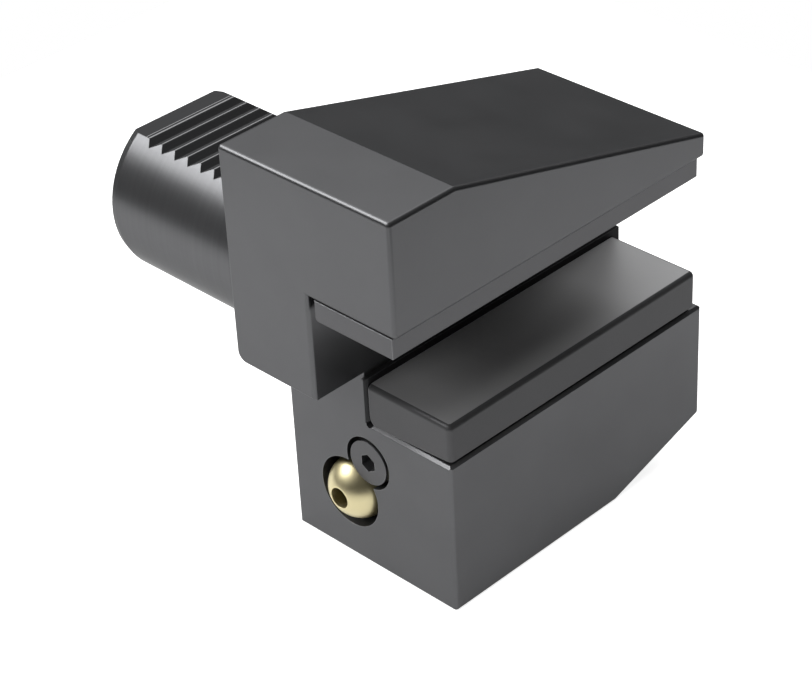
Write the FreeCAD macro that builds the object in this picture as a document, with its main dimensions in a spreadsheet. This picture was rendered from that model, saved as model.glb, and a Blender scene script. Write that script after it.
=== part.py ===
import FreeCAD, Part
import math
import os
import re

import Sketcher

# Turret tool holder with a serrated round shank and a cross slot for a square-shank turning tool.
# Millimetres. The origin is where the shank's axis meets the seating face. +X runs from the shank
# to the front of the head, +Y runs along the slot to its sloping end, and +Z is the toothed side.

Vector = FreeCAD.Vector
SAME_PLACE = 1e-4
START = 1
END = 2
CENTRE = 3
ORIGIN = -1

SIZES = (
    # Round shank with its toothed flat
    ("shank_diameter", 40.0, "fits the turret's bore"),
    ("shank_length", 51.0, "seating face to the end of the shank"),
    ("lead_in_length", 1.8, "slim taper at the end of the shank, along the axis"),
    ("lead_in_depth", 0.5, "slim taper at the end of the shank, off the radius"),
    ("centre_hole_radius", 3.2, "mouth of the turning centre in the shank's end"),
    ("centre_hole_depth", 5.5, "depth of the turning centre"),
    ("crest_height", 16.1, "shank's axis to the tooth crests"),
    ("tooth_pitch", 4.0, "crest to crest"),
    ("tooth_depth", 1.2, "crest to root"),
    ("tooth_flank", 1.4, "length of the steep flank along the shank"),
    ("tooth_land", 0.3, "flat top of a crest"),
    ("tooth_round", 0.6, "crest's edge above the steep flank"),
    ("tooth_reference", 29.7, "seating face to the gauged crest"),
    ("tooth_count", 6, "gaps between teeth"),
    ("flat_end", 20.0, "seating face to the end of the toothed flat"),
    ("ring_land", 0.6, "full shank between the seating face and the seal ring's groove"),
    ("ring_groove_width", 3.0, "groove for the seal ring at the shank's root"),
    ("ring_groove_depth", 2.5, "depth of that groove"),
    ("shank_ring_section", 2.3, "thickness of the shank's seal ring"),
    # Head
    ("head_depth", 45.0, "seating face to the front face"),
    ("head_top", 39.5, "axis to the flat top"),
    ("head_far", 57.0, "axis to the sloping end"),
    ("overhang_near", 31.6, "axis to the near face of the upper jaw"),
    ("overhang_drop", 8.75, "axis to the underside of the overhang"),
    ("overhang_round", 2.4, "rear lower edge of the overhang"),
    ("ridge_near", 14.6, "axis to the start of the top slope"),
    ("slope_end_height", 20.2, "axis to the top edge at the sloping end"),
    ("block_near", 18.9, "axis to the near face of the lower block"),
    ("block_drop", 56.0, "axis to the underside"),
    ("under_slope_start", 29.8, "axis to the start of the slope on the underside"),
    ("under_slope_rise", 8.1, "rise of that slope at the end"),
    ("throat_depth", 22.0, "seating face to the back wall of the slot"),
    ("jaw_height", 15.0, "axis to the underside of the upper jaw"),
    ("seat_drop", 20.6, "axis to the seat of the clamping bar"),
    ("ledge_width", 0.95, "ledge that guides the clamping bar"),
    ("ledge_drop", 9.8, "axis to the top of the ledge"),
    ("relief_radius", 0.75, "groove in the inner corner of the seat"),
    ("edge_round", 0.8, "outer edges of the head"),
    ("seat_bevel", 0.6, "edges of the seat"),
    ("mouth_bevel", 0.5, "mouths of the holes in the underside"),
    # Clamping bar, its screws and its return springs
    ("bar_thickness", 9.4, "height of the clamping bar"),
    ("bar_gap", 0.15, "bar to the ledge"),
    ("bar_near_inset", 0.25, "near end of the bar, inside the block"),
    ("bar_far_inset", 2.1, "far end of the bar, inside the block"),
    ("bar_bevel", 1.2, "upper edges of the bar"),
    ("bar_lower_bevel", 0.9, "lower edges of the bar"),
    ("bar_lower_round", 2.2, "lower inner edge of the bar"),
    ("bar_travel", 6.0, "how far the screws can lift the bar"),
    ("clamp_screw_radius", 6.0, "clamping screws"),
    ("clamp_screw_length", 30.0, "clamping screws"),
    ("clamp_screw_bevel", 1.2, "ends of a clamping screw"),
    ("clamp_screw_pitch", 16.0, "spacing along the bar"),
    ("clamp_socket", 6.0, "hexagon across flats"),
    ("clamp_socket_depth", 8.0, "hexagon depth"),
    ("retainer_spacing", 61.0, "distance between the two retaining screws"),
    ("retainer_radius", 2.5, "screws that pull the bar down"),
    ("retainer_length", 30.0, "below the head"),
    ("retainer_head_radius", 4.25, "socket head"),
    ("retainer_head_height", 5.0, "socket head"),
    ("retainer_head_bevel", 0.3, "outer edge of that head"),
    ("retainer_socket", 4.0, "hexagon across flats"),
    ("retainer_socket_depth", 2.6, "hexagon depth"),
    ("retainer_roof", 9.4, "metal between the seat and the spring's shoulder"),
    ("spring_wire", 0.8, "return spring"),
    ("spring_radius", 3.55, "return spring, to the middle of the wire"),
    ("spring_turns", 6, "return spring"),
    ("spring_reserve", 3.2, "air left between the coils with the bar fully up"),
    # Support plate under the upper jaw
    ("plate_thickness", 4.65, "support plate"),
    ("plate_gap", 1.7, "plate to the back wall of the slot"),
    ("plate_front_inset", 0.8, "plate to the front face"),
    ("plate_far_inset", 1.5, "plate to the sloping end"),
    ("plate_round", 1.0, "lower inner edge of the plate"),
    ("plate_bevel", 0.3, "other edges of the plate's working face"),
    ("plate_screw_spacing", 30.0, "spacing of the plate's screws"),
    ("plate_screw_radius", 2.0, "plate's screws"),
    ("plate_screw_length", 8.0, "overall, with the head"),
    ("plate_screw_head_radius", 3.8, "countersunk head"),
    ("plate_screw_rim", 0.4, "upright rim of the head"),
    ("plate_screw_socket", 2.5, "hexagon across flats"),
    ("plate_screw_socket_depth", 1.5, "hexagon depth"),
    ("plate_screw_sink", 0.4, "head below the plate's working face"),
    ("countersink_slope", 45.0, "countersink's side to its axis, in degrees"),
    # Coolant nozzle
    ("ball_radius", 7.0, "ball nozzle"),
    ("ball_bore_radius", 2.25, "jet hole in the ball"),
    ("ball_across", 16.1, "seating face to the ball's centre"),
    ("ball_drop", 40.25, "axis to the ball's centre"),
    ("ball_sink", 3.5, "near face of the block to the ball's centre"),
    ("ball_pocket_radius", 8.0, "round pocket that holds the ball"),
    ("ball_pocket_depth", 10.8, "depth of that pocket"),
    ("seal_section", 2.0, "thickness of the seal ring behind the ball"),
    ("seal_gap", 0.08, "ball to its seal ring"),
    ("keeper_across", 21.95, "seating face to the keeper screw"),
    ("keeper_drop", 30.4, "axis to the keeper screw"),
    ("keeper_radius", 2.5, "keeper screw"),
    ("keeper_length", 12.0, "overall, with the head"),
    ("keeper_head_radius", 5.0, "countersunk head whose rim holds the ball"),
    ("keeper_rim", 0.55, "upright rim of the head"),
    ("keeper_socket", 3.0, "hexagon across flats"),
    ("keeper_socket_depth", 2.2, "hexagon depth"),
    ("keeper_pocket_radius", 5.95, "pocket around the keeper's head"),
    ("keeper_pocket_depth", 3.6, "depth of that pocket"),
    # Coolant drillings
    ("channel_radius", 3.0, "drilling from the nozzle's pocket"),
    ("inlet_radius", 4.0, "coolant inlet in the seating face"),
    ("inlet_across", 8.0, "axis to the inlet, along the slot"),
    ("inlet_drop", 32.0, "axis to the inlet, downwards"),
    ("riser_radius", 3.2, "drilling up from the underside"),
    ("plug_radius", 4.0, "plug in the mouth of that drilling"),
    ("plug_length", 8.0, "plug in the mouth of that drilling"),
    ("plug_sink", 1.0, "plug below the underside"),
    ("plug_socket", 4.0, "hexagon across flats"),
    ("plug_socket_depth", 4.0, "hexagon depth"),
    # Fits
    ("screw_tip_bevel", 0.6, "end of a thin screw's thread"),
    ("thread_gap", 0.03, "screw to its hole, on the radius"),
    ("spring_gap", 0.5, "screw head to its bore, on the radius"),
    ("tip_room", 1.0, "hole beyond the end of a screw"),
    ("overrun", 2.0, "how far a cutter runs past an edge"),
)

NAMES = {alias for alias, number, note in SIZES}

# Places that several pieces share
SHANK_RADIUS = "(shank_diameter / 2)"
FLAT_START = "(shank_diameter / 2 - crest_height - flat_end)"
BAR_MIDDLE = "((head_far - bar_far_inset - block_near + bar_near_inset) / 2)"
BAR_INNER = "(throat_depth + ledge_width + bar_gap)"
BAR_CENTRE = "((%s + head_depth) / 2)" % BAR_INNER
BAR_LENGTH = "(head_far - bar_far_inset + block_near - bar_near_inset)"
PLATE_INNER = "(throat_depth + plate_gap)"
PLATE_OUTER = "(head_depth - plate_front_inset)"
PLATE_CENTRE = "((%s + %s) / 2)" % (PLATE_INNER, PLATE_OUTER)
PLATE_MIDDLE = "((head_far - plate_far_inset - overhang_near) / 2)"
PLATE_BOTTOM = "(jaw_height - plate_thickness)"
BALL_DEPTH = "(block_near - ball_sink)"
SEAL_DEPTH = "(ball_pocket_depth - seal_section / 2 - ball_sink)"
SEAL_REACH = "(ball_radius + seal_section / 2 + seal_gap)"
SEAL_RADIUS = "sqrt(%s * %s - %s * %s)" % (SEAL_REACH, SEAL_REACH, SEAL_DEPTH, SEAL_DEPTH)
SHOULDER_DROP = "(seat_drop + retainer_roof)"
SPRING_LENGTH = "(bar_travel + spring_turns * spring_wire + spring_reserve)"
RETAINER_SEAT_DROP = "(%s + %s)" % (SHOULDER_DROP, SPRING_LENGTH)
RETAINER_GRIP = "(seat_drop + retainer_length - %s)" % RETAINER_SEAT_DROP
RETAINER_BORE = "(retainer_head_radius + spring_gap)"

doc = FreeCAD.newDocument("tool_holder")
sheet = doc.addObject("Spreadsheet::Sheet", "Sizes")
for row, (alias, number, note) in enumerate(SIZES, start=1):
    sheet.set("A%d" % row, alias)
    sheet.set("B%d" % row, str(number))
    sheet.set("C%d" % row, note)
    sheet.setAlias("B%d" % row, alias)
doc.recompute()


def in_sheet(text):
    """The same sum, with every size read from the sheet."""
    return re.sub("[a-z_]+", lambda word: "Sizes." + word[0] if word[0] in NAMES else word[0], text)


def value(text):
    return float(sheet.evalExpression(in_sheet(text)))


def bind(item, field, text):
    item.setExpression(field, in_sheet(text))


def place(item, across="0", along="0", up="0"):
    bind(item, "Placement.Base.x", across)
    bind(item, "Placement.Base.y", along)
    bind(item, "Placement.Base.z", up)


def turn(item, axis, angle):
    item.Placement = FreeCAD.Placement(Vector(0, 0, 0), FreeCAD.Rotation(axis, angle))


# Sketches and the features made from them


def new_body(name):
    body = doc.addObject("PartDesign::Body", name)
    body.Label = name
    return body


def new_sketch(body, name, plane, lift="0"):
    sketch = body.newObject("Sketcher::SketchObject", name)
    support = next(item for item in body.Origin.OriginFeatures if item.Role == plane)
    sketch.AttachmentSupport = [(support, "")]
    sketch.MapMode = "FlatFace"
    bind(sketch, "AttachmentOffset.Base.z", lift)
    return sketch


def pin_point(sketch, element, vertex, across, up):
    for kind, text in (("DistanceX", across), ("DistanceY", up)):
        rule = Sketcher.Constraint(kind, ORIGIN, START, element, vertex, value(text))
        bind(sketch, "Constraints[%d]" % sketch.addConstraint(rule), text)


def draw_outline(sketch, corners):
    points = [Vector(value(across), value(up), 0) for across, up in corners]
    first = sketch.GeometryCount
    for index, point in enumerate(points):
        sketch.addGeometry(Part.LineSegment(point, points[(index + 1) % len(points)]))
    for index, (across, up) in enumerate(corners):
        line = first + index
        following = first + (index + 1) % len(points)
        sketch.addConstraint(Sketcher.Constraint("Coincident", line, END, following, START))
        pin_point(sketch, line, START, across, up)


def draw_circle(sketch, across, up, radius):
    centre = Vector(value(across), value(up), 0)
    circle = sketch.addGeometry(Part.Circle(centre, Vector(0, 0, 1), value(radius)))
    pin_point(sketch, circle, CENTRE, across, up)
    rule = Sketcher.Constraint("Radius", circle, value(radius))
    bind(sketch, "Constraints[%d]" % sketch.addConstraint(rule), radius)


def draw_hexagon(sketch, across_flats):
    half = "(%s / 2)" % across_flats
    side = "(%s / sqrt(3))" % across_flats
    half_side = "(%s / 2)" % side
    corners = ((half, half_side), ("0", side), ("-" + half, half_side))
    below = tuple((across, "-" + up) for across, up in reversed(corners))
    draw_outline(sketch, corners + below)


def pad(body, name, sketch, length, backwards=False):
    feature = body.newObject("PartDesign::Pad", name)
    feature.Profile = sketch
    feature.Reversed = backwards
    bind(feature, "Length", length)
    return feature


def cut(body, name, sketch, length, forwards=False):
    """Cut against the sketch's normal, or along it, and make sure that metal was removed."""
    doc.recompute()
    before = body.Shape.Volume
    feature = body.newObject("PartDesign::Pocket", name)
    feature.Profile = sketch
    feature.Reversed = forwards
    bind(feature, "Length", length)
    doc.recompute()
    if not body.Shape.Volume < before:
        raise RuntimeError(name + " removes nothing")
    return feature


def cut_across(body, name, sketch):
    """Cut right through on both sides of the sketch, and leave the shank's two wall faces apart."""
    feature = body.newObject("PartDesign::Pocket", name)
    feature.Profile = sketch
    feature.Refine = False
    feature.SideType = "Symmetric"
    feature.Type = "ThroughAll"
    doc.recompute()
    return feature


def turned(body, name, sketch, axis, kind="Revolution"):
    """Turned form, with a face for each line of its profile."""
    feature = body.newObject("PartDesign::" + kind, name)
    feature.Profile = sketch
    feature.Refine = False
    feature.ReferenceAxis = (sketch, [axis])
    return feature


def soften(body, name, kind, base, size, wanted):
    """Round or bevel the edges of the last feature that the test wants."""
    doc.recompute()
    numbered = enumerate(base.Shape.Edges, start=1)
    edges = ["Edge%d" % number for number, edge in numbered if wanted(edge)]
    feature = body.newObject("PartDesign::" + kind, name)
    feature.Base = (base, edges)
    bind(feature, "Radius" if kind == "Fillet" else "Size", size)
    doc.recompute()
    return feature


def spans(edge, x=None, y=None, z=None):
    """True when every corner of the edge has the given coordinates."""
    for axis, text in (("x", x), ("y", y), ("z", z)):
        if text is None:
            continue
        number = value(text)
        if any(abs(getattr(corner.Point, axis) - number) > SAME_PLACE for corner in edge.Vertexes):
            return False
    return True


# Holder body: head, shank, teeth, pockets and drillings


def head(body):
    """Upper jaw, spine and lower block, with both slopes and broken edges."""
    upper = new_sketch(body, "upper_profile", "XZ_Plane", "overhang_near")
    draw_outline(upper, (
        ("0", "-overhang_drop"),
        ("throat_depth", "-overhang_drop"),
        ("throat_depth", "jaw_height"),
        ("head_depth", "jaw_height"),
        ("head_depth", "head_top"),
        ("0", "head_top"),
    ))
    pad(body, "upper_jaw", upper, "overhang_near + head_far", backwards=True)

    ledge = "throat_depth + ledge_width"
    lower = new_sketch(body, "lower_profile", "XZ_Plane", "block_near")
    draw_outline(lower, (
        ("0", "-block_drop"),
        ("head_depth", "-block_drop"),
        ("head_depth", "-seat_drop"),
        (ledge, "-seat_drop"),
        (ledge, "-ledge_drop"),
        ("throat_depth", "-ledge_drop"),
        ("throat_depth", "0"),
        ("0", "0"),
    ))
    pad(body, "lower_block", lower, "block_near + head_far", backwards=True)

    top = new_sketch(body, "top_slope_profile", "YZ_Plane")
    draw_outline(top, (
        ("-ridge_near", "head_top"),
        ("head_far", "slope_end_height"),
        ("head_far", "head_top"),
    ))
    cut(body, "top_slope", top, "head_depth", forwards=True)

    under = new_sketch(body, "under_slope_profile", "YZ_Plane")
    draw_outline(under, (
        ("under_slope_start", "-block_drop"),
        ("head_far", "-block_drop"),
        ("head_far", "-block_drop + under_slope_rise"),
    ))
    last = cut(body, "under_slope", under, "head_depth", forwards=True)

    def is_overhang_corner(edge):
        return spans(edge, x="0", z="-overhang_drop")

    last = soften(body, "overhang_corner", "Fillet", last, "overhang_round", is_overhang_corner)

    def is_outer_edge(edge):
        if spans(edge, z="-seat_drop"):
            return False
        if spans(edge, y="-block_near"):
            return edge.CenterOfMass.z < -value("overhang_drop")
        if spans(edge, y="-overhang_near") or spans(edge, y="head_far") or spans(edge, x="head_depth"):
            return True
        return spans(edge, x="0") and edge.CenterOfMass.z > value("head_top - ridge_near")

    soften(body, "outer_edges", "Fillet", last, "edge_round", is_outer_edge)


def seat_bevels(body):
    """Bevels milled along the three open edges of the clamping bar's seat."""
    front = new_sketch(body, "front_bevel_profile", "XZ_Plane", "block_near + overrun")
    draw_outline(front, (
        ("head_depth - seat_bevel", "-seat_drop"),
        ("head_depth + overrun", "-seat_drop - seat_bevel - overrun"),
        ("head_depth + overrun", "-seat_drop"),
    ))
    cut(body, "front_seat_bevel", front, "block_near + head_far + 2 * overrun")
    ends = new_sketch(body, "end_bevel_profiles", "YZ_Plane", "throat_depth + ledge_width")
    draw_outline(ends, (
        ("-block_near + seat_bevel", "-seat_drop"),
        ("-block_near - overrun", "-seat_drop"),
        ("-block_near - overrun", "-seat_drop - seat_bevel - overrun"),
    ))
    draw_outline(ends, (
        ("head_far - seat_bevel", "-seat_drop"),
        ("head_far + overrun", "-seat_drop - seat_bevel - overrun"),
        ("head_far + overrun", "-seat_drop"),
    ))
    cut(body, "end_seat_bevels", ends, "head_depth", forwards=True)


def shank(body):
    """Turned shank with a slim lead-in, a seal ring groove and a turning centre.

    It is turned from a profile on the lower side, away from the teeth. Its wall is two faces that
    meet where the toothed flat reaches its full depth: one runs all round, and one lies under the teeth.
    """
    profile = new_sketch(body, "shank_profile", "XZ_Plane")
    draw_outline(profile, (
        ("overrun", "0"),
        ("overrun", "-" + SHANK_RADIUS),
        ("-flat_end", "-" + SHANK_RADIUS),
        ("-(shank_length - lead_in_length)", "-" + SHANK_RADIUS),
        ("-shank_length", "lead_in_depth - " + SHANK_RADIUS),
        ("-shank_length", "-centre_hole_radius"),
        ("-(shank_length - centre_hole_depth)", "0"),
    ))
    turned(body, "shank", profile, "H_Axis")

    groove = new_sketch(body, "ring_groove_profile", "XZ_Plane")
    draw_outline(groove, (
        ("-(ring_land + ring_groove_width)", "ring_groove_depth - " + SHANK_RADIUS),
        ("-ring_land", "ring_groove_depth - " + SHANK_RADIUS),
        ("-ring_land", "-(%s + overrun)" % SHANK_RADIUS),
        ("-(ring_land + ring_groove_width)", "-(%s + overrun)" % SHANK_RADIUS),
    ))
    turned(body, "ring_groove", groove, "H_Axis", kind="Groove")


def teeth(body):
    """Milled flat with sawtooth gaps across it: steep flanks face the head."""
    flat = new_sketch(body, "flat_profile", "XZ_Plane")
    draw_outline(flat, (
        ("-(shank_length + overrun)", "crest_height"),
        ("-flat_end", "crest_height"),
        (FLAT_START + " + overrun", SHANK_RADIUS + " + overrun"),
        ("-(shank_length + overrun)", SHANK_RADIUS + " + overrun"),
    ))
    cut_across(body, "toothed_flat", flat)

    crest = "-(tooth_reference - tooth_pitch)"
    gap = new_sketch(body, "tooth_gap_profile", "XZ_Plane")
    draw_outline(gap, (
        (crest + " + tooth_land / 2", "crest_height"),
        (crest + " + tooth_flank", "crest_height - tooth_depth"),
        (crest + " + tooth_pitch - tooth_land / 2", "crest_height"),
        (crest + " + tooth_pitch - tooth_land / 2", "crest_height + overrun"),
        (crest + " + tooth_land / 2", "crest_height + overrun"),
    ))
    first = cut_across(body, "tooth_gap", gap)
    row = body.newObject("PartDesign::LinearPattern", "tooth_row")
    row.Originals = [first]
    row.Direction = (gap, ["H_Axis"])
    row.Reversed = True
    row.Mode = "Spacing"
    row.Refine = False
    bind(row, "Offset", "tooth_pitch")
    bind(row, "Occurrences", "tooth_count")
    body.Tip = row

    def is_crest_edge(edge):
        if not spans(edge, z="crest_height") or len({corner.Point.x for corner in edge.Vertexes}) != 1:
            return False
        steps = (edge.CenterOfMass.x - value(crest + " + tooth_land / 2")) / value("tooth_pitch")
        return abs(steps - round(steps)) < SAME_PLACE

    rounds = soften(body, "crest_rounds", "Fillet", row, "tooth_round", is_crest_edge)
    rounds.Refine = False


def clamp_screw_places():
    return {
        "near": "(%s - clamp_screw_pitch)" % BAR_MIDDLE,
        "middle": BAR_MIDDLE,
        "far": "(%s + clamp_screw_pitch)" % BAR_MIDDLE,
    }


def retainer_places():
    return {
        "near": "(%s - retainer_spacing / 2)" % BAR_MIDDLE,
        "far": "(%s + retainer_spacing / 2)" % BAR_MIDDLE,
    }


def plate_screw_places():
    return {
        "near": "(%s - plate_screw_spacing)" % PLATE_MIDDLE,
        "middle": PLATE_MIDDLE,
        "far": "(%s + plate_screw_spacing)" % PLATE_MIDDLE,
    }


def seat_holes(body):
    """Threads for the clamping screws, and stepped holes for the retaining screws."""
    threads = new_sketch(body, "clamp_thread_circles", "XY_Plane", "-seat_drop")
    for along in clamp_screw_places().values():
        draw_circle(threads, BAR_CENTRE, along, "clamp_screw_radius + thread_gap")
    cut(body, "clamp_threads", threads, "block_drop - seat_drop + overrun")

    passages = new_sketch(body, "retainer_circles", "XY_Plane", "-seat_drop")
    bores = new_sketch(body, "spring_bore_circles", "XY_Plane", "-" + SHOULDER_DROP)
    for along in retainer_places().values():
        draw_circle(passages, BAR_CENTRE, along, "retainer_radius + thread_gap")
        draw_circle(bores, BAR_CENTRE, along, RETAINER_BORE)
    cut(body, "retainer_passages", passages, "retainer_roof + overrun")
    cut(body, "spring_bores", bores, "block_drop - %s + overrun" % SHOULDER_DROP)


def jaw_holes(body):
    """Threads for the support plate's screws."""
    threads = new_sketch(body, "plate_thread_circles", "XY_Plane", "jaw_height")
    for along in plate_screw_places().values():
        draw_circle(threads, PLATE_CENTRE, along, "plate_screw_radius + thread_gap")
    depth = "plate_screw_length + plate_screw_sink - plate_thickness + tip_room"
    cut(body, "plate_threads", threads, depth, forwards=True)


def nozzle_pocket(body):
    """Ball pocket, the pocket beside it for the keeper's head, and the keeper's thread."""
    pocket = new_sketch(body, "ball_pocket_circle", "XZ_Plane", "block_near")
    draw_circle(pocket, "ball_across", "-ball_drop", "ball_pocket_radius")
    cut(body, "ball_pocket", pocket, "ball_pocket_depth")

    recess = new_sketch(body, "keeper_pocket_circle", "XZ_Plane", "block_near")
    draw_circle(recess, "keeper_across", "-keeper_drop", "keeper_pocket_radius")
    cut(body, "keeper_pocket", recess, "keeper_pocket_depth")

    thread = new_sketch(body, "keeper_thread_circle", "XZ_Plane", "block_near")
    draw_circle(thread, "keeper_across", "-keeper_drop", "keeper_radius + thread_gap")
    cut(body, "keeper_thread", thread, "keeper_length + tip_room")


def coolant_drillings(body):
    """Inlet in the seating face, riser from the underside and channel to the ball pocket."""
    inlet = new_sketch(body, "inlet_circle", "YZ_Plane")
    draw_circle(inlet, "inlet_across", "-inlet_drop", "inlet_radius")
    cut(body, "coolant_inlet", inlet, "ball_across", forwards=True)

    riser = new_sketch(body, "riser_circle", "XY_Plane", "-(block_drop + overrun)")
    draw_circle(riser, "ball_across", "inlet_across", "riser_radius")
    cut(body, "coolant_riser", riser, "block_drop + overrun - inlet_drop", forwards=True)

    thread = new_sketch(body, "plug_thread_circle", "XY_Plane", "-(block_drop + overrun)")
    draw_circle(thread, "ball_across", "inlet_across", "plug_radius + thread_gap")
    cut(body, "plug_thread", thread, "overrun + plug_sink + plug_length + tip_room", forwards=True)

    channel = new_sketch(body, "channel_circle", "XZ_Plane", "block_near")
    draw_circle(channel, "ball_across", "-ball_drop", "channel_radius")
    return cut(body, "coolant_channel", channel, "block_near + inlet_across")


def mouth_bevels(body, last):
    """Bevels where the plug's and the screws' holes open into the flat part of the underside."""
    holes = [("ball_across", "inlet_across")]
    for along in (*clamp_screw_places().values(), *retainer_places().values()):
        holes.append((BAR_CENTRE, along))
    axes = [(value(across), value(along)) for across, along in holes]
    corner_room = value("clamp_screw_radius + overrun")

    def is_mouth(edge):
        if len(edge.Vertexes) != 1 or not spans(edge, z="-block_drop"):
            return False
        start = edge.Vertexes[0].Point
        return any(math.hypot(start.x - x, start.y - y) < corner_room for x, y in axes)

    soften(body, "mouth_bevels", "Chamfer", last, "mouth_bevel", is_mouth)


def make_holder_body():
    body = new_body("holder_body")
    head(body)
    seat_bevels(body)
    relief = new_sketch(body, "relief_circle", "XZ_Plane", "block_near + overrun")
    draw_circle(relief, "throat_depth + ledge_width", "-seat_drop", "relief_radius")
    cut(body, "seat_relief", relief, "block_near + head_far + 2 * overrun")
    seat_holes(body)
    jaw_holes(body)
    nozzle_pocket(body)
    last = coolant_drillings(body)
    mouth_bevels(body, last)
    shank(body)
    teeth(body)
    return body


# Clamping bar and what moves with it


def make_clamp_bar():
    body = new_body("clamp_bar")
    section = new_sketch(body, "bar_section", "XZ_Plane", "block_near - bar_near_inset")
    draw_outline(section, (
        (BAR_INNER, "-seat_drop"),
        ("head_depth", "-seat_drop"),
        ("head_depth", "-seat_drop + bar_thickness"),
        (BAR_INNER, "-seat_drop + bar_thickness"),
    ))
    blank = pad(body, "bar_blank", section, BAR_LENGTH, backwards=True)

    def is_upper(edge):
        return spans(edge, z="-seat_drop + bar_thickness") and not spans(edge, x=BAR_INNER)

    def is_lower(edge):
        return spans(edge, z="-seat_drop") and not spans(edge, x=BAR_INNER)

    def is_inner(edge):
        return spans(edge, x=BAR_INNER, z="-seat_drop")

    last = soften(body, "bar_upper_edges", "Chamfer", blank, "bar_bevel", is_upper)
    last = soften(body, "bar_inner_edge", "Fillet", last, "bar_lower_round", is_inner)
    soften(body, "bar_lower_edges", "Chamfer", last, "bar_lower_bevel", is_lower)
    threads = new_sketch(body, "bar_thread_circles", "XY_Plane", "-seat_drop")
    for along in retainer_places().values():
        draw_circle(threads, BAR_CENTRE, along, "retainer_radius + thread_gap")
    cut(body, "bar_threads", threads, RETAINER_GRIP, forwards=True)
    return body


def socket(body, across_flats, depth):
    """Hexagon socket in the end that lies on the body's own XY plane."""
    hexagon = new_sketch(body, "hexagon", "XY_Plane")
    draw_hexagon(hexagon, across_flats)
    cut(body, "socket", hexagon, depth, forwards=True)


def make_clamp_screw(name, along):
    body = new_body(name)
    profile = new_sketch(body, "screw_profile", "XZ_Plane")
    draw_outline(profile, (
        ("0", "0"),
        ("clamp_screw_radius - clamp_screw_bevel / 2", "0"),
        ("clamp_screw_radius", "clamp_screw_bevel / 2"),
        ("clamp_screw_radius", "clamp_screw_length - clamp_screw_bevel"),
        ("clamp_screw_radius - clamp_screw_bevel", "clamp_screw_length"),
        ("0", "clamp_screw_length"),
    ))
    turned(body, "screw", profile, "V_Axis")
    socket(body, "clamp_socket", "clamp_socket_depth")
    place(body, BAR_CENTRE, along, "-(seat_drop + clamp_screw_length)")
    return body


def make_retainer_screw(name, along):
    body = new_body(name)
    profile = new_sketch(body, "screw_profile", "XZ_Plane")
    length = "retainer_head_height + retainer_length"
    draw_outline(profile, (
        ("0", "0"),
        ("retainer_head_radius - retainer_head_bevel", "0"),
        ("retainer_head_radius", "retainer_head_bevel"),
        ("retainer_head_radius", "retainer_head_height"),
        ("retainer_radius", "retainer_head_height"),
        ("retainer_radius", length + " - screw_tip_bevel"),
        ("retainer_radius - screw_tip_bevel", length),
        ("0", length),
    ))
    turned(body, "screw", profile, "V_Axis")
    socket(body, "retainer_socket", "retainer_socket_depth")
    place(body, BAR_CENTRE, along, "-(%s + retainer_head_height)" % RETAINER_SEAT_DROP)
    return body


def make_return_spring(name, along):
    body = new_body(name)
    wire = new_sketch(body, "wire_circle", "XZ_Plane")
    draw_circle(wire, "spring_radius", "spring_wire / 2", "spring_wire / 2")
    coil = body.newObject("PartDesign::AdditiveHelix", "coil")
    coil.Profile = wire
    coil.ReferenceAxis = (wire, ["V_Axis"])
    coil.Mode = "height-turns-angle"
    bind(coil, "Height", SPRING_LENGTH + " - spring_wire")
    bind(coil, "Turns", "spring_turns")
    place(body, BAR_CENTRE, along, "-" + RETAINER_SEAT_DROP)
    return body


# Support plate


def make_support_plate():
    body = new_body("support_plate")
    section = new_sketch(body, "plate_section", "XZ_Plane", "overhang_near")
    draw_outline(section, (
        (PLATE_INNER, PLATE_BOTTOM),
        (PLATE_OUTER, PLATE_BOTTOM),
        (PLATE_OUTER, "jaw_height"),
        (PLATE_INNER, "jaw_height"),
    ))
    length = "overhang_near + head_far - plate_far_inset"
    blank = pad(body, "plate_blank", section, length, backwards=True)

    def is_inner(edge):
        return spans(edge, x=PLATE_INNER, z=PLATE_BOTTOM)

    def is_working(edge):
        past_round = value(PLATE_INNER + " + plate_round + plate_bevel")
        return spans(edge, z=PLATE_BOTTOM) and edge.CenterOfMass.x > past_round

    last = soften(body, "plate_inner_edge", "Fillet", blank, "plate_round", is_inner)
    soften(body, "plate_working_edges", "Chamfer", last, "plate_bevel", is_working)
    sinks = new_sketch(body, "screw_holes", "XY_Plane", PLATE_BOTTOM)
    for along in plate_screw_places().values():
        draw_circle(sinks, PLATE_CENTRE, along, "plate_screw_head_radius + thread_gap")
    cut(body, "head_sinks", sinks, "plate_screw_sink + plate_screw_rim", forwards=True)
    cone_base = PLATE_BOTTOM + " + plate_screw_sink + plate_screw_rim"
    cone_rise = "plate_screw_head_radius - plate_screw_radius"
    for spot, along in plate_screw_places().items():
        circle = new_sketch(body, "cone_circle_" + spot, "XY_Plane", cone_base)
        draw_circle(circle, PLATE_CENTRE, along, "plate_screw_head_radius + thread_gap")
        cone = cut(body, "cone_" + spot, circle, cone_rise, forwards=True)
        bind(cone, "TaperAngle", "-countersink_slope")
    shafts = new_sketch(body, "screw_shaft_holes", "XY_Plane", PLATE_BOTTOM)
    for along in plate_screw_places().values():
        draw_circle(shafts, PLATE_CENTRE, along, "plate_screw_radius + thread_gap")
    cut(body, "shaft_holes", shafts, "plate_thickness + overrun", forwards=True)
    return body


def countersunk_screw(name, radius, length, head_radius, rim, across_flats, depth):
    """Screw that stands on its head's flat face at the body's own origin."""
    body = new_body(name)
    profile = new_sketch(body, "screw_profile", "XZ_Plane")
    draw_outline(profile, (
        ("0", "0"),
        (head_radius, "0"),
        (head_radius, rim),
        (radius, "%s + %s - %s" % (rim, head_radius, radius)),
        (radius, length + " - screw_tip_bevel"),
        (radius + " - screw_tip_bevel", length),
        ("0", length),
    ))
    turned(body, "screw", profile, "V_Axis")
    socket(body, across_flats, depth)
    return body


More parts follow.
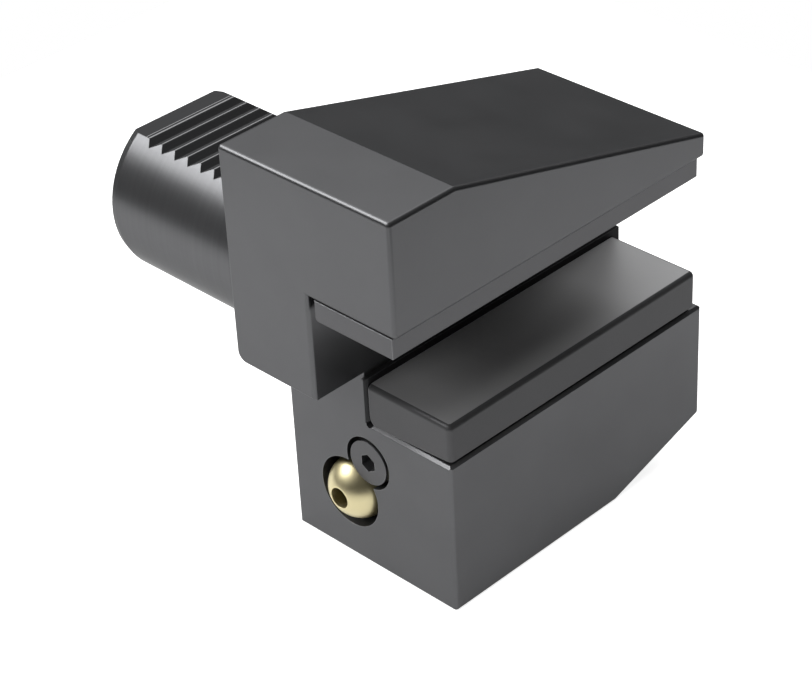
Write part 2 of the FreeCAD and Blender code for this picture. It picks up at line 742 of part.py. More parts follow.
def make_plate_screw(name, along):
    body = countersunk_screw(
        name, "plate_screw_radius", "plate_screw_length", "plate_screw_head_radius",
        "plate_screw_rim", "plate_screw_socket", "plate_screw_socket_depth")
    place(body, PLATE_CENTRE, along, PLATE_BOTTOM + " + plate_screw_sink")
    return body


# Coolant nozzle and seals


def make_nozzle_ball():
    ball = doc.addObject("Part::Sphere", "ball_blank")
    bind(ball, "Radius", "ball_radius")
    jet = doc.addObject("Part::Cylinder", "jet_drill")
    bind(jet, "Radius", "ball_bore_radius")
    bind(jet, "Height", "2 * ball_radius + 2 * overrun")
    place(jet, up="-(ball_radius + overrun)")
    drilled = doc.addObject("Part::Cut", "nozzle_ball")
    drilled.Label = "nozzle_ball"
    drilled.Base = ball
    drilled.Tool = jet
    turn(drilled, Vector(1, 0, 0), 90)
    place(drilled, "ball_across", "-" + BALL_DEPTH, "-ball_drop")
    return drilled


def make_keeper_screw():
    body = countersunk_screw(
        "nozzle_keeper_screw", "keeper_radius", "keeper_length", "keeper_head_radius",
        "keeper_rim", "keeper_socket", "keeper_socket_depth")
    turn(body, Vector(1, 0, 0), -90)
    place(body, "keeper_across", "-block_near", "-keeper_drop")
    return body


def make_ring(name, radius, section, axis):
    ring = doc.addObject("Part::Torus", name)
    ring.Label = name
    bind(ring, "Radius1", radius)
    bind(ring, "Radius2", section + " / 2")
    turn(ring, axis, 90)
    return ring


def make_nozzle_seal():
    ring = make_ring("nozzle_seal_ring", SEAL_RADIUS, "seal_section", Vector(1, 0, 0))
    place(ring, "ball_across", "-block_near + ball_pocket_depth - seal_section / 2", "-ball_drop")
    return ring


def make_shank_seal():
    radius = SHANK_RADIUS + " - (ring_groove_depth - shank_ring_section) / 2 - shank_ring_section / 2"
    ring = make_ring("shank_seal_ring", radius, "shank_ring_section", Vector(0, 1, 0))
    place(ring, "-(ring_land + ring_groove_width / 2)")
    return ring


def make_gallery_plug():
    body = new_body("coolant_gallery_plug")
    circle = new_sketch(body, "plug_circle", "XY_Plane")
    draw_circle(circle, "0", "0", "plug_radius")
    pad(body, "plug", circle, "plug_length")
    socket(body, "plug_socket", "plug_socket_depth")
    place(body, "ball_across", "inlet_across", "-(block_drop - plug_sink)")
    return body


def make_all():
    pieces = [make_holder_body(), make_clamp_bar(), make_support_plate()]
    for spot, along in plate_screw_places().items():
        pieces.append(make_plate_screw("support_plate_screw_" + spot, along))
    for spot, along in clamp_screw_places().items():
        pieces.append(make_clamp_screw("clamp_screw_" + spot, along))
    for spot, along in retainer_places().items():
        pieces.append(make_retainer_screw("bar_retainer_screw_" + spot, along))
        pieces.append(make_return_spring("bar_return_spring_" + spot, along))
    pieces += [make_nozzle_ball(), make_keeper_screw(), make_nozzle_seal()]
    pieces += [make_shank_seal(), make_gallery_plug()]
    return pieces


def check(pieces):
    """Stop before anything is written if a feature failed or a piece is unsound."""
    for item in doc.Objects:
        if "Invalid" in item.State or "Error" in item.State:
            raise RuntimeError("%s failed: %s" % (item.Name, item.State))
    for piece in pieces:
        if piece.Shape.isNull() or not piece.Shape.isValid() or not piece.Shape.Solids:
            raise RuntimeError(piece.Label + " has no sound shape")


def write(pieces):
    os.makedirs("parts", exist_ok=True)
    for piece in pieces:
        piece.Shape.exportStep(os.path.join("parts", piece.Label + ".step"))


pieces = make_all()
doc.recompute()
check(pieces)
write(pieces)
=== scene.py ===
import math

import bmesh
import bpy
from mathutils import Matrix, Vector


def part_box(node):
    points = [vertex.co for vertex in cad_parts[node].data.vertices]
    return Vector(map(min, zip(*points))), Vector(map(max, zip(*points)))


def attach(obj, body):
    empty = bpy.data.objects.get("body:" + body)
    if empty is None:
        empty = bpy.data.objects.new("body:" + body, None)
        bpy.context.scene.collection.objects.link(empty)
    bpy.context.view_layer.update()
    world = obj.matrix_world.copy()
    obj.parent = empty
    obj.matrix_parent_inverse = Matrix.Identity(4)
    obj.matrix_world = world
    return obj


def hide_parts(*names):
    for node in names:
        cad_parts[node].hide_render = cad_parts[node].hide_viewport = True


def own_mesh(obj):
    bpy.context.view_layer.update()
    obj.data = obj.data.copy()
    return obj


bl_info = {
    "name": "Turret tool holder",
    "version": (1, 0, 0),
    "blender": (4, 5, 0),
    "location": "View3D > Sidebar > Tool holder",
    "description": "Dresses a turret tool holder: steel, screws, springs, nozzle and studio",
    "category": "Object",
}

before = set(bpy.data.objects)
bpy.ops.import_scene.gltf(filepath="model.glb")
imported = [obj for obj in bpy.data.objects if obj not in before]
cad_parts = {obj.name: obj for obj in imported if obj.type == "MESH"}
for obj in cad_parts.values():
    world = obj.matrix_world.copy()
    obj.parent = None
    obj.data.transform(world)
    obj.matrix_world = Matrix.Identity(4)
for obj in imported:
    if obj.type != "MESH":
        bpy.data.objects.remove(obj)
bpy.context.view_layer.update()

MM = 0.001
SPOTS = ("near", "middle", "far")
END_SPOTS = ("near", "far")

# Places on the body where its finish changes and where highlights and shade are painted, by the
# names that they have in the part's source

SHANK_RADIUS = 20 * MM
SHANK_LENGTH = 51 * MM
CREST_HEIGHT = 16.1 * MM
TOOTH_DEPTH = 1.2 * MM
THROAT_DEPTH = 22 * MM
LEDGE_WIDTH = 0.95 * MM
LEDGE_DROP = 9.8 * MM
HEAD_DEPTH = 45 * MM
BLOCK_NEAR = 18.9 * MM
BLOCK_DROP = 56 * MM
SEAT_DROP = 20.6 * MM
SEAT_BEVEL = 0.6 * MM

# Fineness of the noise in the finishes, in repeats a metre

MOTTLE = 70.0
EDGE_BREAKUP = 260.0
GRIT = 2600.0
STREAKS = 900.0
TURNING_RINGS = 5200.0

# The photograph's camera, in metres, in pixels of its frame and in millimetres of sensor

CAMERA_PLACE = (0.31519, -0.28885, 0.26231)
CAMERA_FORWARD = (-0.60096, 0.57842, -0.55161)
CAMERA_RIGHT = (0.71357, 0.69919, -0.04424)
FOCAL_PIXELS = 2487.5
FRAME_PIXELS = 812
SENSOR_WIDTH = 36.0


def middle_of(node_name):
    """Middle of a CAD node's box, in metres."""
    corners = [Vector(corner) for corner in bpy.data.objects[node_name].bound_box]
    return (corners[0] + corners[6]) / 2


def lowest_of(node_name):
    """Height of a CAD node's lowest point, in metres."""
    return min(corner[2] for corner in bpy.data.objects[node_name].bound_box)


# Sizes and colours that a user would change


class HolderSizes(bpy.types.PropertyGroup):
    clamp_radius: bpy.props.FloatProperty(
        name="Clamping screw radius", description="Crest radius of the clamping screws' thread",
        default=6 * MM, unit="LENGTH", precision=5)
    clamp_length: bpy.props.FloatProperty(
        name="Clamping screw length", description="Overall length of a clamping screw",
        default=30 * MM, unit="LENGTH", precision=5)
    clamp_pitch: bpy.props.FloatProperty(
        name="Clamping screw pitch", description="Rise of the thread in one turn",
        default=1.75 * MM, unit="LENGTH", precision=5)
    retainer_radius: bpy.props.FloatProperty(
        name="Retaining screw radius", description="Radius of the retaining screws' thread",
        default=2.5 * MM, unit="LENGTH", precision=5)
    retainer_head: bpy.props.FloatProperty(
        name="Retaining screw head", description="Radius of the knurled socket head",
        default=4.25 * MM, unit="LENGTH", precision=5)
    spring_radius: bpy.props.FloatProperty(
        name="Spring radius", description="Return spring, to the middle of its wire",
        default=3.55 * MM, unit="LENGTH", precision=5)
    spring_wire: bpy.props.FloatProperty(
        name="Spring wire", description="Thickness of the return spring's wire",
        default=0.8 * MM, unit="LENGTH", precision=5)
    ball_radius: bpy.props.FloatProperty(
        name="Ball radius", description="Radius of the brass ball nozzle",
        default=7 * MM, unit="LENGTH", precision=5)
    jet_radius: bpy.props.FloatProperty(
        name="Jet radius", description="Radius of the hole through the ball",
        default=2.25 * MM, unit="LENGTH", precision=5)
    bar_round: bpy.props.FloatProperty(
        name="Bar rounding", description="Upper edges and outer corners of the clamping bar",
        default=1.2 * MM, unit="LENGTH", precision=5)
    bar_bevel: bpy.props.FloatProperty(
        name="Bar bevel", description="Lower outer edges of the clamping bar",
        default=1.1 * MM, unit="LENGTH", precision=5)
    bar_hollow: bpy.props.FloatProperty(
        name="Bar inner rounding", description="Lower inner edge of the clamping bar",
        default=2.2 * MM, unit="LENGTH", precision=5)
    edge_softness: bpy.props.FloatProperty(
        name="Edge softness", description="Radius that light sees on the steel's sharp edges",
        default=0.18 * MM, unit="LENGTH", precision=5)


class HolderColours(bpy.types.PropertyGroup):
    black_steel: bpy.props.FloatVectorProperty(
        name="Blackened steel", description="Oxide layer on the holder's body",
        subtype="COLOR", size=3, default=(0.120, 0.121, 0.125), min=0, max=1)
    plate_steel: bpy.props.FloatVectorProperty(
        name="Support plate", description="Oxide layer on the ground support plate",
        subtype="COLOR", size=3, default=(0.112, 0.112, 0.116), min=0, max=1)
    bar_steel: bpy.props.FloatVectorProperty(
        name="Bar sides", description="Oxide layer on the sides of the clamping bar",
        subtype="COLOR", size=3, default=(0.088, 0.088, 0.091), min=0, max=1)
    screw_steel: bpy.props.FloatVectorProperty(
        name="Screws", description="Blackened screws and plug",
        subtype="COLOR", size=3, default=(0.120, 0.120, 0.124), min=0, max=1)
    ground_steel: bpy.props.FloatVectorProperty(
        name="Ground top", description="Top of the clamping bar, where tools slide",
        subtype="COLOR", size=3, default=(0.42, 0.42, 0.425), min=0, max=1)
    # Colour of worn edges and also of the painted highlights on the crests, the seat bevel and
    # convex edges.
    wear_and_highlight_steel: bpy.props.FloatVectorProperty(
        name="Worn edges", description="Steel where the oxide has rubbed off",
        subtype="COLOR", size=3, default=(0.42, 0.42, 0.43), min=0, max=1)
    spring_steel: bpy.props.FloatVectorProperty(
        name="Spring wire", description="Drawn spring wire",
        subtype="COLOR", size=3, default=(0.42, 0.42, 0.43), min=0, max=1)
    brass: bpy.props.FloatVectorProperty(
        name="Brass", description="Turned brass of the nozzle",
        subtype="COLOR", size=3, default=(0.74, 0.66, 0.40), min=0, max=1)
    rubber: bpy.props.FloatVectorProperty(
        name="Seal rubber", description="Seal rings",
        subtype="COLOR", size=3, default=(0.018, 0.018, 0.019), min=0, max=1)


# Shader maths


class Signal:
    """A number or colour that runs through a material, so that sums on it read as sums."""

    def __init__(self, paint, socket):
        self.paint = paint
        self.socket = socket

    def maths(self, operation, first, second):
        made = self.paint.node("Math", {"operation": operation}, {0: first, 1: second})
        return Signal(self.paint, made.outputs[0])

    def __add__(self, other):
        return self.maths("ADD", self, other)

    def __radd__(self, other):
        return self.maths("ADD", other, self)

    def __sub__(self, other):
        return self.maths("SUBTRACT", self, other)

    def __rsub__(self, other):
        return self.maths("SUBTRACT", other, self)

    def __mul__(self, other):
        return self.maths("MULTIPLY", self, other)

    def __rmul__(self, other):
        return self.maths("MULTIPLY", other, self)

    def most(self, other):
        """The larger of two signals."""
        return self.maths("MAXIMUM", self, other)

    def within(self, low, high, soft=0.02 * MM):
        """1 between two values, with soft ends."""
        return self.above(low - soft, low + soft) * (1 - self.above(high - soft, high + soft))

    def above(self, low, high):
        """0 up to the low value, 1 from the high value, and smooth between them."""
        made = self.paint.node(
            "MapRange", {"interpolation_type": "SMOOTHSTEP"},
            {"Value": self, "From Min": low, "From Max": high})
        return Signal(self.paint, made.outputs["Result"])


class Paint:
    """The nodes of one material or world."""

    def __init__(self, owner):
        owner.use_nodes = True
        self.tree = owner.node_tree
        self.tree.nodes.clear()

    def node(self, kind, settings=None, sockets=None):
        made = self.tree.nodes.new("ShaderNode" + kind)
        for name, setting in (settings or {}).items():
            setattr(made, name, setting)
        for name, entry in (sockets or {}).items():
            if isinstance(entry, Signal):
                self.tree.links.new(entry.socket, made.inputs[name])
            else:
                made.inputs[name].default_value = entry
        return made

    def signal(self, kind, output, settings=None, sockets=None):
        return Signal(self, self.node(kind, settings, sockets).outputs[output])

    def surface(self, kind, sockets):
        """The material's shader, linked to its output."""
        shader = self.node(kind, None, sockets)
        output = self.node("OutputMaterial")
        self.tree.links.new(shader.outputs[0], output.inputs["Surface"])

    def mix(self, share, first, second):
        """Colour between the first and the second."""
        made = self.node("Mix", {"data_type": "RGBA"}, {0: share, 6: first, 7: second})
        return Signal(self, made.outputs[2])

    def place(self):
        return self.signal("TexCoord", "Object")

    def axes(self):
        split = self.node("SeparateXYZ", None, {"Vector": self.place()})
        return [Signal(self, split.outputs[name]) for name in ("X", "Y", "Z")]

    def stretched(self, scale):
        return self.signal("Mapping", "Vector", None, {"Vector": self.place(), "Scale": scale})

    def noise(self, vector, scale, detail=2.0):
        sockets = {"Vector": vector, "Scale": scale, "Detail": detail}
        return self.signal("TexNoise", "Fac", None, sockets)


def opaque(colour, share=1.0):
    """The colour, or a share of its brightness, with full alpha."""
    return (*(share * part for part in colour), 1.0)


def convex_edges(paint, reach):
    """1 along outward edges and 0 on open faces and in corners."""
    hidden = paint.signal(
        "AmbientOcclusion", "AO",
        {"inside": True, "only_local": True, "samples": 8}, {"Distance": reach})
    return 1 - hidden


def body_marks_and_painted_light(paint):
    """Where the body gets painted highlights on its crests and seat bevel, painted shade and more
    roughness on its toothed flat and guide ledge, and how strong its turning lines are.
    """
    along, across, up = paint.axes()
    hair = 0.02 * MM
    on_shank = (0.0 - along).above(0.2 * MM, 0.4 * MM)
    inside = (SHANK_RADIUS - 0.10 * MM) ** 2
    wall = (SHANK_RADIUS - 0.03 * MM) ** 2
    off_wall = 1 - (across * across + up * up).above(inside, wall)
    root = CREST_HEIGHT - TOOTH_DEPTH
    above_root = up.above(root - 0.3 * MM, root - 0.2 * MM)
    on_flat = off_wall * above_root * along.within(-SHANK_LENGTH - 0.2 * MM, -0.4 * MM)

    # Painted highlights: the tooth crests and a thin line beyond the last crest are painted in the
    # lighter steel colour to stand for the light they catch.
    last_crest = -45.7 * MM
    toothed = along.above(last_crest - 0.30 * MM, last_crest - 0.25 * MM)
    thin_highlight_line = along.within(last_crest - 1.05 * MM, last_crest - 0.85 * MM)
    at_crests = up.within(CREST_HEIGHT - hair, CREST_HEIGHT + 0.15 * MM, hair / 2)
    crest_highlights = on_flat * at_crests * toothed.most(thin_highlight_line)

    # Painted highlight: the seat's bevel on the near and front sides is painted lighter, fading
    # towards the far end, to stand for the light it reflects.
    seat_edge = up.within(-SEAT_DROP - SEAT_BEVEL - hair, -SEAT_DROP + hair)
    near_edge = across.within(-BLOCK_NEAR + 0.03 * MM, -BLOCK_NEAR + SEAT_BEVEL + hair)
    near_edge = near_edge * along.above(THROAT_DEPTH + 0.9 * MM, THROAT_DEPTH + 1.1 * MM)
    front_edge = along.within(HEAD_DEPTH - SEAT_BEVEL - hair, HEAD_DEPTH - 0.03 * MM)
    highlight_fade = 1 - across.above(0.0, 32 * MM)
    rubbed_and_highlit = (0.8 * crest_highlights).most(0.24 * seat_edge * near_edge.most(front_edge * highlight_fade))

    # Painted shade: the guide ledge and the flat under the teeth are painted darker to stand for
    # shade; the same mask also makes them rougher.
    on_ledge = along.within(THROAT_DEPTH + hair, THROAT_DEPTH + LEDGE_WIDTH + 0.05 * MM)
    on_ledge = on_ledge * up.within(-SEAT_DROP + 0.1 * MM, -LEDGE_DROP + 0.1 * MM)
    dull_and_shaded = (on_flat * (1 - crest_highlights)).most(on_ledge)
    return rubbed_and_highlit, dull_and_shaded, on_shank * (1 - on_flat)


def steel(name, colour, roughness, edge_wear_and_highlight=0.35, metallic=0.75, marks=None, ground=None):
    """Blackened steel: faint mottling, fine ground texture, and lighter edges that are partly worn
    oxide and partly painted highlight.
    """
    sizes = bpy.context.scene.holder_sizes
    colours = bpy.context.scene.holder_colours
    material = bpy.data.materials.new(name)
    paint = Paint(material)
    cloud = paint.noise(paint.place(), MOTTLE, 3.0)
    grit = paint.noise(paint.place(), GRIT)
    # Lighter convex edges: partly worn oxide and partly painted highlight along the edges.
    rubbed_and_highlit = convex_edges(paint, 2.2 * sizes.edge_softness).above(0.18, 0.62) * edge_wear_and_highlight
    rubbed_and_highlit = rubbed_and_highlit * (0.55 + 0.9 * paint.noise(paint.place(), EDGE_BREAKUP))
    shade = 0.75 * cloud + 0.25 * grit
    gloss = roughness + 0.07 * cloud + 0.03 * grit - 0.05
    height = grit
    dull_and_shaded = None
    if marks is not None:
        # The body's marks bring painted highlights and painted shade as well as turning lines.
        more_highlights, dull_and_shaded, turned = marks(paint)
        rubbed_and_highlit = rubbed_and_highlit.most(more_highlights)
        rings = paint.noise(paint.stretched((TURNING_RINGS, 0.0, 0.0)), 1.0)
        streaks = paint.noise(paint.stretched((STREAKS, 0.0, 0.0)), 1.0, 3.0)
        shade = shade * (1 - turned) + streaks * turned
        height = grit * (1 - turned) + rings * turned * 1.6
        gloss = gloss + 0.45 * dull_and_shaded
    oxide = paint.mix(shade, opaque(colour, 0.86), opaque(colour, 1.14))
    # Painted shade: darkens the toothed flat and the guide ledge where the mask says.
    if dull_and_shaded is not None:
        oxide = paint.mix(0.75 * dull_and_shaded, oxide, opaque(colour, 0.38))
    if ground is not None:
        worked = paint.axes()[2].above(ground - 0.06 * MM, ground - 0.02 * MM)
        oxide = paint.mix(worked, oxide, opaque(colours.ground_steel))
    # Lays the lighter steel on the worn edges and on the painted highlights.
    tone = paint.mix(rubbed_and_highlit, oxide, opaque(colours.wear_and_highlight_steel))
    soft = paint.signal("Bevel", "Normal", {"samples": 6}, {"Radius": sizes.edge_softness})
    relief = paint.signal(
        "Bump", "Normal", None,
        {"Strength": 0.5, "Distance": 0.006 * MM, "Height": height, "Normal": soft})
    paint.surface("BsdfPrincipled", {
        "Base Color": tone,
        "Roughness": gloss,
        "Metallic": metallic,
        "IOR": 1.5,
        "Specular Tint": (0.4, 0.4, 0.4, 1.0),
        "Normal": relief,
    })
    return material


def bright_metal(name, colour, roughness, marks_at):
    """Bare metal with faint tool marks: spring wire or turned brass."""
    material = bpy.data.materials.new(name)
    paint = Paint(material)
    cloud = paint.noise(paint.place(), 420.0, 3.0)
    relief = paint.signal(
        "Bump", "Normal", None,
        {"Strength": 0.35, "Distance": 0.005 * MM, "Height": marks_at(paint)})
    paint.surface("BsdfPrincipled", {
        "Base Color": paint.mix(cloud, opaque(colour, 0.88), opaque(colour)),
        "Roughness": roughness + 0.10 * cloud,
        "Metallic": 1.0,
        "Normal": relief,
    })
    return material


def drawing_marks(paint):
    """Fine marks all over a drawn wire."""
    return paint.noise(paint.place(), 1800.0)


def lathe_marks(paint):
    """Rings about the ball's jet."""
    return paint.noise(paint.stretched((0.0, 2600.0, 0.0)), 1.0, 1.0)


def seal_rubber(name, colour):
    """Matt black rubber with a fine speckle."""
    material = bpy.data.materials.new(name)
    paint = Paint(material)
    speckle = paint.noise(paint.place(), 1500.0, 3.0)
    relief = paint.signal(
        "Bump", "Normal", None, {"Strength": 0.4, "Distance": 0.01 * MM, "Height": speckle})
    paint.surface("BsdfPrincipled", {
        "Base Color": paint.mix(speckle, opaque(colour, 0.7), opaque(colour)),
        "Roughness": 0.45 + 0.2 * speckle,
        "Normal": relief,
    })
    return material


def finish(name):
    """The finish of that name, made the first time that it is asked for."""
    if name in bpy.data.materials:
        return bpy.data.materials[name]
    colours = bpy.context.scene.holder_colours
    makers = {
        "blackened_body": lambda: steel(name, colours.black_steel, 0.32, marks=body_marks_and_painted_light),
        "blackened_plate": lambda: steel(name, colours.plate_steel, 0.32),
        "ground_bar": lambda: steel(
            name, colours.bar_steel, 0.42, metallic=0.5, ground=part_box("clamp_bar")[1][2]),
        "blackened_screw": lambda: steel(name, colours.screw_steel, 0.40, edge_wear_and_highlight=0.5),
        "drawn_wire": lambda: bright_metal(name, colours.spring_steel, 0.30, drawing_marks),
        "turned_brass": lambda: bright_metal(name, colours.brass, 0.35, lathe_marks),
        "ring_rubber": lambda: seal_rubber(name, colours.rubber),
    }
    return makers[name]()


def dress(node_name, finish_name):
    """Gives a CAD node its finish."""
    piece = bpy.data.objects[node_name]
    piece.data.materials.clear()
    piece.data.materials.append(finish(finish_name))


# Modelling helpers


def nothing_selected():
    if bpy.context.object and bpy.context.object.mode != "OBJECT":
        bpy.ops.object.mode_set(mode="OBJECT")
    bpy.ops.object.select_all(action="DESELECT")


def cylinder(radius, low, high, sides=48):
    """Capped cylinder about the Z axis, from one height to another."""
    nothing_selected()
    bpy.ops.mesh.primitive_cylinder_add(
        vertices=sides, radius=radius, depth=high - low, location=(0, 0, (low + high) / 2))
    bpy.ops.object.transform_apply(location=True, rotation=True, scale=True)
    return bpy.context.object


def choose(test, kind="faces"):
    """In edit mode, selects just the faces or edges that the test wants."""
    bpy.ops.mesh.select_all(action="DESELECT")
    bpy.ops.mesh.select_mode(type="FACE" if kind == "faces" else "EDGE")
    mesh = bmesh.from_edit_mesh(bpy.context.object.data)
    for element in getattr(mesh, kind):
        if test(element):
            element.select_set(True)
    bmesh.update_edit_mesh(bpy.context.object.data)


def height_of(element):
    """Height of a flat face or level edge, or None where it isn't level."""
    levels = [vertex.co.z for vertex in element.verts]
    return levels[0] if max(levels) - min(levels) < 0.0001 * MM else None


def level(height):
    """Test for faces and edges that lie at a height."""
    def lies_there(element):
        found = height_of(element)
        return found is not None and abs(found - height) < 0.001 * MM
    return lies_there


def editing(piece):
    """Opens a piece in edit mode."""
    nothing_selected()
    piece.select_set(True)
    bpy.context.view_layer.objects.active = piece
    bpy.ops.object.mode_set(mode="EDIT")


def bevel_rim(piece, height, size, segments=3):
    """Rounds or bevels the circular edge at a height."""
    editing(piece)
    choose(level(height), "edges")
    bpy.ops.mesh.bevel(offset=size, segments=segments, affect="EDGES")
    bpy.ops.object.mode_set(mode="OBJECT")


def modify(piece, kind, **settings):
    """Adds a modifier and applies it."""
    nothing_selected()
    piece.select_set(True)
    bpy.context.view_layer.objects.active = piece
    modifier = piece.modifiers.new(kind.title(), kind)
    for name, setting in settings.items():
        setattr(modifier, name, setting)
    bpy.ops.object.modifier_apply(modifier=modifier.name)


def combine(piece, tool, operation):
    """Joins, cuts or intersects a piece with a tool, which is used up."""
    modify(piece, "BOOLEAN", object=tool, operation=operation, solver="EXACT")
    bpy.data.objects.remove(tool, do_unlink=True)


def hexagon_socket(piece, across_flats, depth, mouth_share=0.12):
    """Cuts a hexagon into a screw's foot, with a mouth bevelled by a share of its width."""
    corner = across_flats / math.sqrt(3)
    mouth = mouth_share * across_flats
    combine(piece, cylinder(corner, -MM, depth, sides=6), "DIFFERENCE")
    if not mouth:
        return
    fall = corner + mouth - across_flats / 2
    nothing_selected()
    bpy.ops.mesh.primitive_cone_add(
        vertices=36, radius1=corner + mouth, radius2=across_flats / 2, depth=fall,
        location=(0, 0, fall / 2 - mouth / 4))
    cone = bpy.context.object
    bpy.ops.object.transform_apply(location=True, rotation=True, scale=True)
    combine(piece, cone, "DIFFERENCE")


def move(piece, step, turn=None):
    """Moves and turns the mesh itself, so that its object stays at the origin."""
    matrix = Matrix.Translation(Vector(step))
    if turn is not None:
        matrix = matrix @ turn
    piece.data.transform(matrix)
    piece.data.update()


def profile_ring(profile_points):
    """Closed ring of edges in the XZ plane."""
    nothing_selected()
    bpy.ops.mesh.primitive_circle_add(vertices=len(profile_points), radius=1, fill_type="NGON")
    piece = bpy.context.object
    for vertex, (across, up) in zip(piece.data.vertices, profile_points):
        vertex.co = (across, 0, up)
    editing(piece)
    bpy.ops.mesh.select_all(action="SELECT")
    bpy.ops.mesh.delete(type="ONLY_FACE")
    bpy.ops.object.mode_set(mode="OBJECT")
    return piece


def turned_ring(profile_points, steps=128):
    """Turns a closed profile all the way round Z, as on a lathe."""
    piece = profile_ring(profile_points)
    modify(
        piece, "SCREW", axis="Z", angle=2 * math.pi, screw_offset=0, steps=steps,
        render_steps=steps, use_merge_vertices=True, merge_threshold=0.001 * MM,
        use_smooth_shade=True)
    editing(piece)
    bpy.ops.mesh.select_all(action="SELECT")
    bpy.ops.mesh.remove_doubles(threshold=0.001 * MM)
    bpy.ops.mesh.normals_make_consistent(inside=False)
    bpy.ops.object.mode_set(mode="OBJECT")
    return piece


def helix(profile_points, turns, rise, steps=40):
    """Sweeps a closed profile in the XZ plane along a helix about Z, with closed ends."""
    piece = profile_ring(profile_points)
    modify(
        piece, "SCREW", axis="Z", angle=2 * math.pi * turns, screw_offset=rise * turns,
        steps=int(steps * turns), render_steps=int(steps * turns), use_smooth_shade=True)
    editing(piece)
    bpy.ops.mesh.select_all(action="DESELECT")
    bpy.ops.mesh.select_mode(type="EDGE")
    bpy.ops.mesh.select_non_manifold()
    bpy.ops.mesh.edge_face_add()
    bpy.ops.mesh.select_all(action="SELECT")
    bpy.ops.mesh.normals_make_consistent(inside=False)
    bpy.ops.object.mode_set(mode="OBJECT")
    return piece


def thread(core_radius, crest_radius, pitch, low, high):
    """Threaded rod about Z, from one height to another."""
    turns = math.ceil((high - low) / pitch) + 2
    root = core_radius - 0.08 * pitch
    ridge_profile = (
        (root, 0), (root, 0.84 * pitch), (crest_radius, 0.48 * pitch), (crest_radius, 0.36 * pitch))
    ridge = helix(ridge_profile, turns, pitch)
    move(ridge, (0, 0, low - pitch))
    rod = cylinder(core_radius, low, high)
    combine(rod, ridge, "UNION")
    return rod


def hand_over(piece, name, body, slot, finish_name, *nodes):
    """Names a finished piece, gives it its finish, and puts it in place of its CAD nodes."""
    piece.name = name
    piece.data.name = name
    piece.data.materials.clear()
    piece.data.materials.append(finish(finish_name))
    nothing_selected()
    piece.select_set(True)
    bpy.context.view_layer.objects.active = piece
    bpy.ops.object.shade_smooth_by_angle(angle=math.radians(35))
    modify(piece, "WEIGHTED_NORMAL", keep_sharp=True, weight=100)
    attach(piece, body)
    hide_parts(*nodes)


def copy_of(piece):
    """Copy of a piece with its own mesh."""
    twin = piece.copy()
    twin.data = piece.data.copy()
    bpy.context.collection.objects.link(twin)
    return twin


def set_out_screws(screw, name, node, spots, body=None):
    """Puts a copy of a screw in each node's place, to ride on the body or else on its own."""
    for spot in spots:
        node_name = node + spot
        middle = middle_of(node_name)
        piece = copy_of(screw)
        move(piece, (middle.x, middle.y, lowest_of(node_name)))
        hand_over(
            piece, name + spot, body or node_name, "screw_steel", "blackened_screw", node_name)
    bpy.data.objects.remove(screw, do_unlink=True)


# Operators, one for each piece or group of like pieces


class HOLDER_OT_steel_pieces(bpy.types.Operator):
    """Blackened steel on the holder's body and the support plate"""

    bl_idname = "holder.steel_pieces"
    bl_label = "Body and support plate"

    def execute(self, context):
        dress("holder_body", "blackened_body")
        dress("support_plate", "blackened_plate")
        return {"FINISHED"}


class HOLDER_OT_clamping_bar(bpy.types.Operator):
    """Clamping bar with rounded upper edges, bevelled lower ones and a ground top"""

    bl_idname = "holder.clamping_bar"
    bl_label = "Clamping bar"

    def execute(self, context):
        sizes = context.scene.holder_sizes
        low, high = (Vector(corner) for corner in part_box("clamp_bar"))
        nothing_selected()
        bpy.ops.mesh.primitive_cube_add(size=1, location=(low + high) / 2, scale=high - low)
        bar = bpy.context.object
        bpy.ops.object.transform_apply(location=True, rotation=True, scale=True)

        def lies(edge, axis, place):
            return all(abs(vertex.co[axis] - place) < 0.001 * MM for vertex in edge.verts)

        def is_inner(edge):
            return lies(edge, 0, low.x)

        def is_corner(edge):
            return lies(edge, 0, high.x) and (lies(edge, 1, low.y) or lies(edge, 1, high.y))

        edge_sets = (
            (lambda edge: is_inner(edge) and lies(edge, 2, low.z), sizes.bar_hollow, 8),
            (lambda edge: is_corner(edge) or lies(edge, 2, high.z) and not is_inner(edge),
             sizes.bar_round, 6),
            (lambda edge: lies(edge, 2, low.z) and not lies(edge, 0, low.x + sizes.bar_hollow),
             sizes.bar_bevel, 1),
        )
        for wanted, size, segments in edge_sets:
            editing(bar)
            choose(wanted, "edges")
            bpy.ops.mesh.bevel(offset=size, segments=segments, affect="EDGES")
            bpy.ops.object.mode_set(mode="OBJECT")
        clearance = 0.03 * MM
        for spot in END_SPOTS:
            node_name = "bar_retainer_screw_" + spot
            middle = middle_of(node_name)
            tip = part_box(node_name)[1][2]
            hole = cylinder(sizes.retainer_radius + clearance, low.z - MM, tip + MM)
            move(hole, (middle.x, middle.y, 0))
            combine(bar, hole, "DIFFERENCE")
        hand_over(bar, "rounded_clamp_bar", "clamp_bar", "plate_steel", "ground_bar", "clamp_bar")
        return {"FINISHED"}


class HOLDER_OT_clamping_screws(bpy.types.Operator):
    """Three threaded clamping screws that lift the bar"""

    bl_idname = "holder.clamping_screws"
    bl_label = "Clamping screws"

    def execute(self, context):
        sizes = context.scene.holder_sizes
        thread_share = 0.61
        lower_bevel = 0.7 * MM
        upper_bevel = 1.2 * MM
        radius = sizes.clamp_radius
        length = sizes.clamp_length
        core = radius - thread_share * sizes.clamp_pitch
        screw = thread(core, radius, sizes.clamp_pitch, 0, length)
        envelope = cylinder(radius + 0.02 * MM, 0, length, sides=64)
        bevel_rim(envelope, 0, lower_bevel, 1)
        bevel_rim(envelope, length, upper_bevel, 1)
        combine(screw, envelope, "INTERSECT")
        hexagon_socket(screw, across_flats=6 * MM, depth=8 * MM)
        set_out_screws(screw, "threaded_clamp_screw_", "clamp_screw_", SPOTS)
        return {"FINISHED"}


